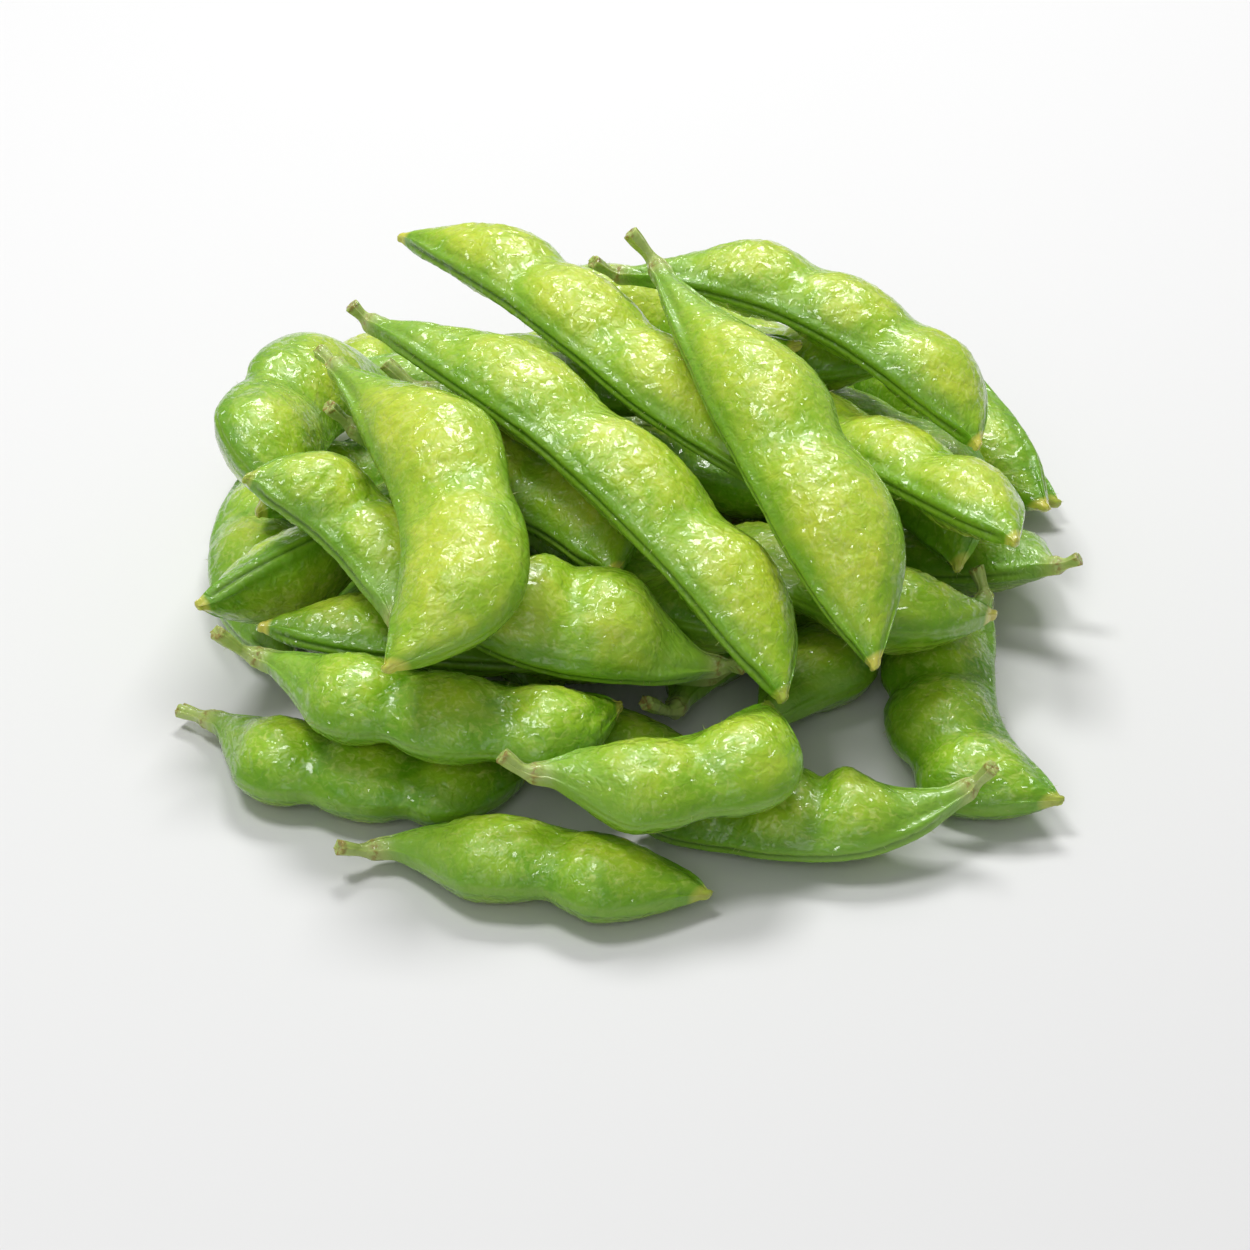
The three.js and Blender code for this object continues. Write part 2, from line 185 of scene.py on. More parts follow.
@dataclass
class Cage:
    """The rings of points that one packed pod is skinned over, from the cut of its stalk to its tip."""

    rings: np.ndarray  # rings by 12 by 3, in metres

    @property
    def bean_rings(self) -> int:
        """How many rings lie on the beans, before the tip is rounded off."""
        return len(self.rings) - FIRST_BEAN_RING - TIP_RINGS

    @property
    def beans(self) -> int:
        """How many beans the pod holds."""
        return math.ceil(self.bean_rings / RINGS_PER_BEAN)

    def knots(self) -> np.ndarray:
        """The rings' places along the pod, in millimetres from the cut of its stalk."""
        steps = np.linalg.norm(np.diff(self.rings.mean(axis=1), axis=0), axis=1) / MM
        return np.concatenate([[0], np.cumsum(steps)])

    def bean_middles(self) -> tuple[list[float], float]:
        """Where the beans lie along the pod.

        Returns:
            The places of their middles and the length of one, in millimetres.
        """
        knots = self.knots()
        start, end = knots[FIRST_BEAN_RING], knots[FIRST_BEAN_RING + self.bean_rings - 1]
        length = (end - start) / (self.bean_rings - 1) * RINGS_PER_BEAN
        return [start + length * (bean + 0.5) for bean in range(self.beans)], length

    @classmethod
    def of_node(cls, node: bpy.types.Object) -> "Cage":
        """Reads the rings back from a packed pod.

        Args:
            node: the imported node, whose mesh is left as it is.

        Returns:
            The cage, with point 0 of each ring on the main seam.
        """
        welded = bmesh.new()
        welded.from_mesh(node.data)
        bmesh.ops.remove_doubles(welded, verts=welded.verts[:], dist=WELD)
        caps = [v for v in welded.verts if len(v.link_edges) == SIDES]
        reach = [sum(e.calc_length() for e in cap.link_edges) for cap in caps]
        ring = cls._first_ring(caps[reach.index(max(reach))])
        found, seen = [], set(caps)
        while ring:
            found.append([tuple(v.co) for v in ring])
            seen.update(ring)
            ring = cls._next_ring(ring, seen)
        welded.free()
        rings = np.array(found)
        body = rings[FIRST_BEAN_RING : -TIP_RINGS]
        edges = np.linalg.norm(np.roll(body, -1, axis=1) - body, axis=2).mean(axis=0)
        return cls(np.roll(rings, MINOR_STRIP - int(edges.argmin()), axis=1))

    @staticmethod
    def _first_ring(cap: bmesh.types.BMVert) -> list[bmesh.types.BMVert]:
        """Finds the ring round the cut of the stalk.

        Args:
            cap: the point in the middle of the cut.

        Returns:
            The ring's points, in the order that the solid was skinned in.
        """
        after = {}
        for face in cap.link_faces:
            loop = next(corner for corner in face.loops if corner.vert == cap)
            after[loop.link_loop_prev.vert] = loop.link_loop_next.vert
        ring = [next(iter(after))]
        while len(ring) < len(after):
            ring.append(after[ring[-1]])
        return ring

    @staticmethod
    def _next_ring(
        ring: list[bmesh.types.BMVert], seen: set[bmesh.types.BMVert]
    ) -> list[bmesh.types.BMVert]:
        """Finds the ring after this one: each of its points is joined to two neighbours on this ring.

        Args:
            ring: the points of this ring, in order.
            seen: the points of the rings up to this one.

        Returns:
            The next ring's points, in the same order, or nothing past the last ring.
        """
        ahead = [{e.other_vert(v) for e in v.link_edges} - seen for v in ring]
        shared = [ahead[k] & ahead[(k + 1) % len(ring)] for k in range(len(ring))]
        return [next(iter(points)) for points in shared] if all(shared) else []


# ---- One pod's skin ----


@dataclass(frozen=True)
class SeamCut:
    """The section of a seam, in millimetres: a groove between two lips, with a crease beyond them."""

    groove: float
    groove_reach: float
    lip: float
    lip_at: float
    crease: float
    crease_at: float
    lip_reach: float = 0.32
    crease_reach: float = 0.6

    def height(self, away: np.ndarray) -> np.ndarray:
        """The skin's height in millimetres at a distance away from the middle of the seam."""
        return (
            self.lip * bell(away, self.lip_at, self.lip_reach)
            - self.groove * bell(away, 0, self.groove_reach)
            - self.crease * bell(away, self.crease_at, self.crease_reach)
        )


MAIN_SEAM = SeamCut(groove=0.26, groove_reach=0.28, lip=0.05, lip_at=0.72, crease=0.16, crease_at=2.0)
MINOR_SEAM = SeamCut(groove=0.12, groove_reach=0.2, lip=0.05, lip_at=0.4, crease=0.12, crease_at=1.5)


@dataclass
class PodSkin:
    """The fine skin of one pod, lofted through its cage."""

    name: str
    number: int
    cage: Cage
    layer: Layer

    # Points between two neighbouring points of the cage, as they lie round a section.
    round_steps: tuple[int, ...] = (9, 7, 8, 7, 7, 5, 7, 7, 8, 7, 9, 9)
    stalk_spacing_mm: float = 0.3
    tip_spacing_mm: float = 0.4
    tip_stretch_mm: float = 4.0  # how much of the tip has its rows that close, and no seam or bulge
    bean_length: float = 0.47  # from a bean's middle to its rim, as a share of its stretch of the pod
    bean_width: float = 0.74  # the same across the seams, as a share of half the pod's width
    bulge_mm: float = 0.1
    dent_mm: float = 0.12
    collar_pinch: float = 0.22
    collar_reach_mm: float = 0.55
    cut_pinch: float = 0.2
    ribs: int = 5
    rib_height: float = 0.05
    nub_length_mm: float = 0.5
    # The rows that close the ends: how far out from the end row each lies, and how wide it is beside it. The
    # distance is a share of the end row's radius at the tip, and in millimetres at the cut of the stalk.
    dome: tuple[tuple[float, float], ...] = ((0.5, 0.96), (0.9, 0.78), (1.1, 0.42))
    dome_top: float = 1.15
    cut_rim: tuple[tuple[float, float], ...] = ((0.1, 0.85), (0.02, 0.5))
    cut_depth_mm: float = 0.1
    knots: np.ndarray = field(init=False)

    def __post_init__(self) -> None:
        """Notes where the cage's rings lie along the pod."""
        self.knots = self.cage.knots()

    def build(self) -> bpy.types.Object:
        """Makes the mesh with its attributes.

        Returns:
            The object, at the origin, with its place in its mesh.
        """
        along, grid = self._loft()
        grid = self._shape(along, grid)
        values = self._attributes(along, grid)
        return self._mesh(grid, values)

    def _rows(self, along: np.ndarray) -> np.ndarray:
        """Spaces the skin's rows, closer on the stalk and towards the tip.

        Args:
            along: the places of the cage's rings along the pod, in millimetres.

        Returns:
            The places of the rows, in millimetres.
        """
        stalk, tip = along[STALK_RINGS] + 1, along[-1]
        taper = tip - self.tip_stretch_mm
        parts = (
            (0, stalk, self.stalk_spacing_mm),
            (stalk, taper, self.layer.spacing_mm),
            (taper, tip, self.tip_spacing_mm),
        )
        rows = [np.arange(start, end - step / 2, step) for start, end, step in parts]
        return np.concatenate([*rows, [tip]])

    def _round(self) -> np.ndarray:
        """Works out how a section's points follow from a ring.

        Returns:
            For each point of the section, its weights on the twelve points of a ring.
        """
        widest = self.cage.rings[FIRST_BEAN_RING + RINGS_PER_BEAN // 2]
        chord = np.linalg.norm(np.roll(widest, -1, axis=0) - widest, axis=1)
        knots = np.concatenate([[0], np.cumsum(np.tile(chord, 3))])
        unit = np.tile(np.eye(SIDES), (3, 1))
        unit = np.concatenate([unit, unit[:1]])
        at = [knots[SIDES + k] + chord[k] * j / n for k, n in enumerate(self._steps()) for j in range(n)]
        return hermite(knots, unit, np.array(at))

    def _loft(self) -> tuple[np.ndarray, np.ndarray]:
        """Lofts the smooth skin.

        Returns:
            The rows' places along the pod in millimetres, and the grid of points in metres.
        """
        rows = self._rows(self.knots)
        return rows, np.einsum("kj,mjc->mkc", self._round(), hermite(self.knots, self.cage.rings, rows))

    def _frames(self, grid: np.ndarray) -> tuple[np.ndarray, np.ndarray, np.ndarray]:
        """Finds how each row lies.

        Args:
            grid: the points, rows by points round a row.

        Returns:
            For each row its middle, its direction from seam to seam and its direction through the pod.
        """
        count = grid.shape[1]
        share = np.cumsum([0, *self._steps()])
        top = grid[:, share[0]], grid[:, share[MINOR_STRIP]]
        under = grid[:, share[SIDES - 1]], grid[:, share[MINOR_STRIP + 1] % count]
        across = (top[0] + under[0]) - (top[1] + under[1])
        across /= np.linalg.norm(across, axis=1, keepdims=True)
        through = (top[0] - under[0]) + (top[1] - under[1])
        through -= across * (through * across).sum(axis=1, keepdims=True)
        through /= np.linalg.norm(through, axis=1, keepdims=True)
        return grid.mean(axis=1), across, through

    def _steps(self) -> list[int]:
        """How many of a section's points start in each edge of the cage's ring."""
        share = self.layer.spacing_mm / Layer.TOP.spacing_mm
        return [max(3, round(n / share)) for n in self.round_steps]

    def _seam_distances(self, grid: np.ndarray) -> tuple[np.ndarray, np.ndarray]:
        """Measures from the seams, over the skin.

        Args:
            grid: the points, rows by points round a row.

        Returns:
            How far each point is from the main and from the minor seam, in millimetres.
        """
        edge = np.linalg.norm(np.roll(grid, -1, axis=1) - grid, axis=2) / MM
        place = np.cumsum(edge, axis=1) - edge
        girth = edge.sum(axis=1, keepdims=True)
        starts = np.cumsum([0, *self._steps()])
        found = []
        for strip in (SIDES - 1, MINOR_STRIP):
            middle = (starts[strip] + starts[strip + 1]) / 2
            low = int(middle)
            seam = place[:, low] + edge[:, low] * (middle - low)
            away = np.abs(place - seam[:, None])
            found.append(np.minimum(away, girth - away))
        return found[0], found[1]

    def _outward(self, grid: np.ndarray) -> np.ndarray:
        """Finds which way the skin faces.

        Args:
            grid: the points, rows by points round a row.

        Returns:
            The outward direction at each point.
        """
        lengthways = np.gradient(grid, axis=0)
        around = np.roll(grid, -1, axis=1) - np.roll(grid, 1, axis=1)
        out = np.cross(around, lengthways)
        out /= np.linalg.norm(out, axis=2, keepdims=True) + 1e-12
        from_middle = grid - grid.mean(axis=1, keepdims=True)
        return out * np.sign((out * from_middle).sum())

    def _bean_distance(self, along: np.ndarray, grid: np.ndarray) -> np.ndarray:
        """Measures from the beans.

        Args:
            along: the rows' places along the pod, in millimetres.
            grid: the points, rows by points round a row.

        Returns:
            How far each point is from the nearest bean's middle, where 1 is at that bean's rim.
        """
        middle, across, _ = self._frames(grid)
        sideways = ((grid - middle[:, None]) * across[:, None]).sum(axis=2)
        half_width = np.abs(sideways).max(axis=1, keepdims=True)
        nearest = np.full(grid.shape[:2], FAR)
        middles, length = self.cage.bean_middles()
        for bean in middles:
            place = (along[:, None] - bean) / (length * self.bean_length)
            nearest = np.minimum(nearest, np.hypot(place, sideways / (half_width * self.bean_width)))
        return nearest

    def _shape(self, along: np.ndarray, grid: np.ndarray) -> np.ndarray:
        """Cuts the seams, rounds the bulges, and shapes the collar and the cut of the stalk.

        Args:
            along: the rows' places along the pod, in millimetres.
            grid: the points of the smooth skin, rows by points round a row.

        Returns:
            The points moved.
        """
        neck, tip = self.knots[STALK_RINGS], along[-1]
        taper = tip - self.tip_stretch_mm
        body = (smooth(neck + 1.5, neck + 7, along) * (1 - smooth(taper, tip - 1, along)))[:, None]
        main, minor = self._seam_distances(grid)
        rim = self._bean_distance(along, grid)
        height = MAIN_SEAM.height(main) + MINOR_SEAM.height(minor)
        height = height + self.bulge_mm * (1 - smooth(0.2, 1, rim)) - self.dent_mm * bell(rim, 1.14, 0.22)
        grid = grid + self._outward(grid) * (height * body * MM)[..., None]

        collar = self.knots[STALK_RINGS - 1]
        turn = np.arange(grid.shape[1]) / grid.shape[1] * math.tau
        on_stalk = (1 - smooth(collar, collar + 1.2, along))[:, None]
        ribbed = 1 + self.rib_height * np.sin(turn * self.ribs)[None, :] * on_stalk
        pinch = 1 - self.collar_pinch * bell(along, collar, 0.7) - self.cut_pinch * bell(along, 0, 1.5)
        middle = grid.mean(axis=1, keepdims=True)
        return middle + (grid - middle) * (pinch[:, None] * ribbed)[..., None]

    def _attributes(self, along: np.ndarray, grid: np.ndarray) -> dict[str, np.ndarray]:
        """Works out what the skin's relief and colour follow, at each point.

        Args:
            along: the rows' places along the pod, in millimetres.
            grid: the points, rows by points round a row.

        Returns:
            For each attribute its values, rows by points, and for pod_place rows by points by 3.
        """
        neck, tip = self.knots[STALK_RINGS], along[-1]
        middle, across, through = self._frames(grid)
        away = (grid - middle[:, None]) / MM
        main, minor = self._seam_distances(grid)
        rim = self._bean_distance(along, grid)
        row = along[:, None] + np.zeros(grid.shape[:2])
        body = smooth(neck + 0.5, neck + 6, row) * (1 - smooth(tip - self.tip_stretch_mm, tip - 0.5, row))
        sideways = (away * across[:, None]).sum(axis=2)
        inward = (away * through[:, None]).sum(axis=2)
        collar = self.knots[STALK_RINGS - 1]
        withered = 0.7 + 0.3 * math.sin(self.number * 1.9)  # how far the beak has, by the pod
        return {
            "pod_place": np.stack([row + self.number * 131.0, sideways, inward], axis=2),
            "bean": (1 - smooth(0.55, 1.2, rim)) * body,
            "seam": np.maximum(bell(main, 0, 1.0), 0.7 * bell(minor, 0, 0.7)) * body,
            "groove": bell(main, 0, 0.3) * body,
            "rim": np.maximum(1 - smooth(0.8, 4.2, main), 0.9 * (1 - smooth(0.6, 3.4, minor))),
            "neck": 1 - smooth(neck + 3, neck + 15, row),
            "stalk": 1 - smooth(collar - 0.2, collar + 3.2, row),
            "dry": np.maximum.reduce([
                0.9 * bell(row, collar - 0.5, self.collar_reach_mm),
                1 - smooth(0.1, 0.9, row),
                0.28 * smooth(tip - self.nub_length_mm, tip, row),
            ]),
            "nub": withered * smooth(tip - self.nub_length_mm - 0.7, tip - self.nub_length_mm, row),
            # The yellowing comes from the layer and carries painted shade: the lower layers get less of it,
            # so they come out a deeper green.
            "yellowing_with_heap_shade": np.full(row.shape, self.layer.yellowing_with_heap_shade + 0.07 * math.sin(self.number * 2.7)),
        }

    def _mesh(self, grid: np.ndarray, values: dict[str, np.ndarray]) -> bpy.types.Object:
        """Skins the grid, with a dished cut on the stalk and a dome on the tip.

        Args:
            grid: the points, rows by points round a row.
            values: the attributes at those points.

        Returns:
            The object.
        """
        ahead = grid[-1].mean(axis=0) - grid[-3].mean(axis=0)
        ahead /= np.linalg.norm(ahead)
        rows = [grid]
        radius = np.linalg.norm(grid[-1] - grid[-1].mean(axis=0), axis=1).mean()
        end = grid[-1].mean(axis=0)
        for out, share in self.dome:
            rows.append((end + (grid[-1] - end) * share + ahead * out * radius)[None])
        back = grid[0].mean(axis=0) - grid[2].mean(axis=0)
        back /= np.linalg.norm(back)
        start = grid[0].mean(axis=0)
        for out_mm, share in self.cut_rim:
            rows.insert(0, (start + (grid[0] - start) * share + back * out_mm * MM)[None])
        whole = np.concatenate(rows)
        around = whole.shape[1]
        ends = [start - back * self.cut_depth_mm * MM, end + ahead * radius * self.dome_top]
        points = np.concatenate([whole.reshape(-1, 3), ends])
        points[:, 2] = np.maximum(points[:, 2], 0)

        k = np.arange(around)
        following = (k + 1) % around
        base = np.arange(len(whole) - 1)[:, None] * around
        quads = np.stack([base + k, base + around + k, base + around + following, base + following], axis=2)
        quads = quads.reshape(-1, 4)
        first, last = len(points) - 2, len(points) - 1
        far = (len(whole) - 1) * around
        caps = [np.stack([np.full(around, first), k, following], axis=1)]
        caps.append(np.stack([np.full(around, last), far + following, far + k], axis=1))
        a, b, c, _ = points[quads[len(quads) // 2]]
        row_middle = grid[len(grid) // 2].mean(axis=0)
        if np.dot(np.cross(b - a, c - a), a - row_middle) < 0:
            quads = quads[:, ::-1]
            caps = [faces[:, ::-1] for faces in caps]
        mesh = bpy.data.meshes.new(self.name)
        mesh.from_pydata(points.tolist(), [], [*quads.tolist(), *caps[0].tolist(), *caps[1].tolist()])
        for key, value in values.items():
            flat = value if value.ndim == 3 else value[..., None]
            flat = np.concatenate([*[flat[:1]] * len(self.cut_rim), flat, *[flat[-1:]] * len(self.dome)])
            flat = flat.reshape(-1, flat.shape[2])
            flat = np.concatenate([flat, flat[:1], flat[-1:]])
            kind, slot = ("FLOAT_VECTOR", "vector") if value.ndim == 3 else ("FLOAT", "value")
            layer = mesh.attributes.new(key, kind, "POINT")
            layer.data.foreach_set(slot, flat.astype(np.float32).ravel())
        mesh.polygons.foreach_set("use_smooth", [True] * len(mesh.polygons))
        mesh.update()
        made = bpy.data.objects.new(self.name, mesh)
        bpy.context.scene.collection.objects.link(made)
        return made


# ---- Geometry Nodes: the blistered skin and its down ----


@dataclass(frozen=True)
class SkinRelief:
    """The relief that boiling raises on a pod: blisters over the beans, puckers between them, a slack skin.

    The sizes are in millimetres.
    """

    blister_size: float = 1.75
    blister_height: float = 0.9
    dimple_size: float = 1.3
    dimple_height: float = 0.14
    pucker_size: float = 0.9
    pucker_height: float = 0.3
    slack_size: float = 9.0
    slack_height: float = 0.55
    down_density: float = 90000.0  # hairs per square metre of seam band
    down_length: float = 0.7
    down_radius: float = 0.035
    seed: int = 7

    NAMES = ("Blister Size", "Blister Height", "Dimple Size", "Dimple Height", "Pucker Size",
             "Pucker Height", "Slack Size", "Slack Height", "Down Density", "Down Length", "Down Radius")
    PUCKER_STRETCH = (1.0, 0.32, 0.32)  # puckers run round the pod, so the pattern is drawn out that way
    HAIR_TIP = 0.000004  # a hair's radius at its tip, in metres

    def values(self) -> tuple[float, ...]:
        """The sizes in the order of NAMES."""
        return (self.blister_size, self.blister_height, self.dimple_size, self.dimple_height,
                self.pucker_size, self.pucker_height, self.slack_size, self.slack_height,
                self.down_density, self.down_length, self.down_radius)

    def tree(self) -> bpy.types.NodeTree:
        """Builds the tree.

        Returns:
            The node tree, with a named input for each size and for both materials.
        """
        tree = bpy.data.node_groups.new("boiled_pod_skin", "GeometryNodeTree")
        face = tree.interface
        face.new_socket("Geometry", in_out="INPUT", socket_type="NodeSocketGeometry")
        for name, value in zip(self.NAMES, self.values()):
            socket = face.new_socket(name, in_out="INPUT", socket_type="NodeSocketFloat")
            socket.default_value = value
        face.new_socket("Skin", in_out="INPUT", socket_type="NodeSocketMaterial")
        face.new_socket("Down", in_out="INPUT", socket_type="NodeSocketMaterial")
        face.new_socket("Geometry", in_out="OUTPUT", socket_type="NodeSocketGeometry")
        given = add_node(tree, "NodeGroupInput").outputs
        skin = self._raise(tree, given)
        down = self._down(tree, given, skin)
        dressed = add_node(tree, "GeometryNodeSetMaterial", {"Geometry": skin, "Material": given["Skin"]})
        haired = add_node(tree, "GeometryNodeSetMaterial", {"Geometry": down, "Material": given["Down"]})
        joined = add_node(tree, "GeometryNodeJoinGeometry")
        tree.links.new(haired.outputs[0], joined.inputs[0])
        tree.links.new(dressed.outputs[0], joined.inputs[0])
        add_node(tree, "NodeGroupOutput", {0: joined.outputs[0]})
        return tree

    @staticmethod
    def _waves(
        tree: bpy.types.NodeTree, place: Any, size: Any, detail: float, twist: float
    ) -> bpy.types.NodeSocket:
        """Adds waves that rise and fall evenly about 0.

        Args:
            tree: the tree.
            place: the socket of the place that they are read at.
            size: the socket of their size, in millimetres.
            detail: how many finer waves they carry.
            twist: how far they are distorted.

        Returns:
            The waves.
        """
        scale = add_node(tree, "ShaderNodeMath", {0: 1.0, 1: size}, operation="DIVIDE").outputs[0]
        inputs = {"Vector": place, "Scale": scale, "Detail": detail, "Distortion": twist, "Roughness": 0.5}
        noise = add_node(tree, "ShaderNodeTexNoise", inputs, noise_dimensions="3D", normalize=True)
        inputs = {0: noise.outputs[0], 1: 0.5}
        return add_node(tree, "ShaderNodeMath", inputs, operation="SUBTRACT").outputs[0]

    @staticmethod
    def _dimples(tree: bpy.types.NodeTree, place: Any, size: Any) -> bpy.types.NodeSocket:
        """Adds round dimples.

        Args:
            tree: the tree.
            place: the socket of the place that they are read at.
            size: the socket of their size, in millimetres.

        Returns:
            The skin's height between and in them.
        """
        scale = add_node(tree, "ShaderNodeMath", {0: 1.0, 1: size}, operation="DIVIDE").outputs[0]
        cells = add_node(
            tree, "ShaderNodeTexVoronoi", {"Vector": place, "Scale": scale, "Smoothness": 0.7},
            feature="SMOOTH_F1", voronoi_dimensions="3D",
        )
        return add_node(
            tree, "ShaderNodeMath", {0: 0.45, 1: cells.outputs["Distance"]}, operation="SUBTRACT"
        ).outputs[0]

    def _height(self, tree: bpy.types.NodeTree, given: Any) -> bpy.types.NodeSocket:
        """Adds up how far the skin rises at each point.

        Args:
            tree: the tree.
            given: the tree's inputs.

        Returns:
            The height, in metres.
        """
        place = add_node(
            tree, "GeometryNodeInputNamedAttribute", {"Name": "pod_place"}, data_type="FLOAT_VECTOR"
        ).outputs[0]
        on, off = {}, {}
        for name in ("bean", "rim", "stalk"):
            mask = add_node(tree, "GeometryNodeInputNamedAttribute", {"Name": name}, data_type="FLOAT")
            on[name] = mask.outputs[0]
            inputs = {0: 1.0, 1: on[name]}
            off[name] = add_node(tree, "ShaderNodeMath", inputs, operation="SUBTRACT").outputs[0]
        over_bean = add_node(
            tree, "ShaderNodeMath", {0: on["bean"], 1: 0.8, 2: 0.2}, operation="MULTIPLY_ADD"
        ).outputs[0]
        between = add_node(
            tree, "ShaderNodeMath", {0: off["bean"], 1: off["rim"]}, operation="MULTIPLY"
        ).outputs[0]
        across = add_node(
            tree, "ShaderNodeVectorMath", {0: place, 1: self.PUCKER_STRETCH}, operation="MULTIPLY"
        ).outputs[0]
        layers = (
            ("Blister", self._waves(tree, place, given["Blister Size"], 1.5, 0.9), over_bean),
            ("Dimple", self._dimples(tree, place, given["Dimple Size"]), over_bean),
            ("Pucker", self._waves(tree, across, given["Pucker Size"], 1.0, 0.4), between),
            ("Slack", self._waves(tree, place, given["Slack Size"], 1.0, 0.0), 1.0),
        )
        raised = []
        for name, shape, share in layers:
            inputs = {0: shape, 1: given[f"{name} Height"]}
            tall = add_node(tree, "ShaderNodeMath", inputs, operation="MULTIPLY").outputs[0]
            laid = add_node(tree, "ShaderNodeMath", {0: tall, 1: share}, operation="MULTIPLY").outputs[0]
            raised.append(laid)
        blister, dimple, pucker, slack = raised
        fine = add_node(tree, "ShaderNodeMath", {0: blister, 1: dimple}, operation="ADD").outputs[0]
        coarse = add_node(tree, "ShaderNodeMath", {0: pucker, 1: slack}, operation="ADD").outputs[0]
        whole = add_node(tree, "ShaderNodeMath", {0: fine, 1: coarse}, operation="ADD").outputs[0]
        body = add_node(tree, "ShaderNodeMath", {0: whole, 1: off["stalk"]}, operation="MULTIPLY").outputs[0]
        return add_node(tree, "ShaderNodeMath", {0: body, 1: MM}, operation="MULTIPLY").outputs[0]

    def _raise(self, tree: bpy.types.NodeTree, given: Any) -> bpy.types.NodeSocket:
        """Moves the skin's points along their normals, then lifts what sinks below the surface back on it.

        Args:
            tree: the tree.
            given: the tree's inputs.

        Returns:
            The raised skin.
        """
        normal = add_node(tree, "GeometryNodeInputNormal").outputs[0]
        inputs = {0: normal, "Scale": self._height(tree, given)}
        offset = add_node(tree, "ShaderNodeVectorMath", inputs, operation="SCALE").outputs[0]
        inputs = {"Geometry": given["Geometry"], "Offset": offset}
        raised = add_node(tree, "GeometryNodeSetPosition", inputs).outputs[0]
        position = add_node(tree, "GeometryNodeInputPosition").outputs[0]
        inputs = {0: position, 1: (-FAR, -FAR, 0.0)}
        rested = add_node(tree, "ShaderNodeVectorMath", inputs, operation="MAXIMUM").outputs[0]
        return add_node(tree, "GeometryNodeSetPosition", {"Geometry": raised, "Position": rested}).outputs[0]

    def _down(
        self, tree: bpy.types.NodeTree, given: Any, skin: bpy.types.NodeSocket
    ) -> bpy.types.NodeSocket:
        """Sets short hairs along the seams, each leaning its own way.

        Args:
            tree: the tree.
            given: the tree's inputs.
            skin: the raised skin.

        Returns:
            The hairs.
        """
        rim, dry = (
            add_node(tree, "GeometryNodeInputNamedAttribute", {"Name": name}, data_type="FLOAT").outputs[0]
            for name in ("rim", "dry")
        )
        band = add_node(tree, "ShaderNodeMath", {0: rim, 1: 3.0}, operation="POWER").outputs[0]
        fresh = add_node(tree, "ShaderNodeMath", {0: 1.0, 1: dry}, operation="SUBTRACT").outputs[0]
        share = add_node(tree, "ShaderNodeMath", {0: band, 1: fresh}, operation="MULTIPLY").outputs[0]
        inputs = {0: share, 1: given["Down Density"]}
        density = add_node(tree, "ShaderNodeMath", inputs, operation="MULTIPLY").outputs[0]
        inputs = {"Mesh": skin, "Density": density, "Seed": self.seed}
        spread = add_node(tree, "GeometryNodeDistributePointsOnFaces", inputs, distribute_method="RANDOM")
        length, radius = (
            add_node(tree, "ShaderNodeMath", {0: given[name], 1: MM}, operation="MULTIPLY").outputs[0]
            for name in ("Down Length", "Down Radius")
        )
        inputs = {"Vertices": 4, "Radius Top": self.HAIR_TIP, "Radius Bottom": radius, "Depth": length}
        hair = add_node(tree, "GeometryNodeMeshCone", inputs)
        inputs = {0: (-0.5, -0.5, -0.5), 1: (0.5, 0.5, 0.5), "Seed": self.seed + 1}
        lean = add_node(tree, "FunctionNodeRandomValue", inputs, data_type="FLOAT_VECTOR").outputs[0]
        leaning = add_node(
            tree, "ShaderNodeVectorMath", {0: spread.outputs["Normal"], 1: lean}, operation="ADD"
        ).outputs[0]
        turned = add_node(tree, "FunctionNodeAlignRotationToVector", {"Vector": leaning}, axis="Z")
        size = add_node(
            tree, "FunctionNodeRandomValue", {2: 0.5, 3: 1.2, "Seed": self.seed + 2}, data_type="FLOAT"
        ).outputs[1]
        hairs = add_node(
            tree, "GeometryNodeInstanceOnPoints",
            {"Points": spread.outputs["Points"], "Instance": hair.outputs[0],
             "Rotation": turned.outputs[0], "Scale": size},
        )
        return add_node(tree, "GeometryNodeRealizeInstances", {0: hairs.outputs[0]}).outputs[0]

    def apply(
        self, piece: bpy.types.Object, tree: bpy.types.NodeTree, skin: bpy.types.Material,
        down: bpy.types.Material,
    ) -> None:
        """Runs the tree on a piece and keeps the plain mesh that it gives.

        Args:
            piece: the pod, whose mesh is replaced.
            tree: what tree() built.
            skin: the material of the pod.
            down: the material of its hairs.
        """
        modifier = piece.modifiers.new("boiled_pod_skin", "NODES")
        modifier.node_group = tree
        named = {item.name: item.identifier for item in tree.interface.items_tree if item.in_out == "INPUT"}
        for name, value in zip(self.NAMES, self.values()):
            modifier[named[name]] = value
        modifier[named["Skin"]] = skin
        modifier[named["Down"]] = down
        graph = bpy.context.evaluated_depsgraph_get()
        plain = bpy.data.meshes.new_from_object(piece.evaluated_get(graph), depsgraph=graph)
        plain.name = piece.name
        piece.modifiers.clear()
        old = piece.data
        piece.data = plain
        bpy.data.meshes.remove(old)


# ---- Finishes ----


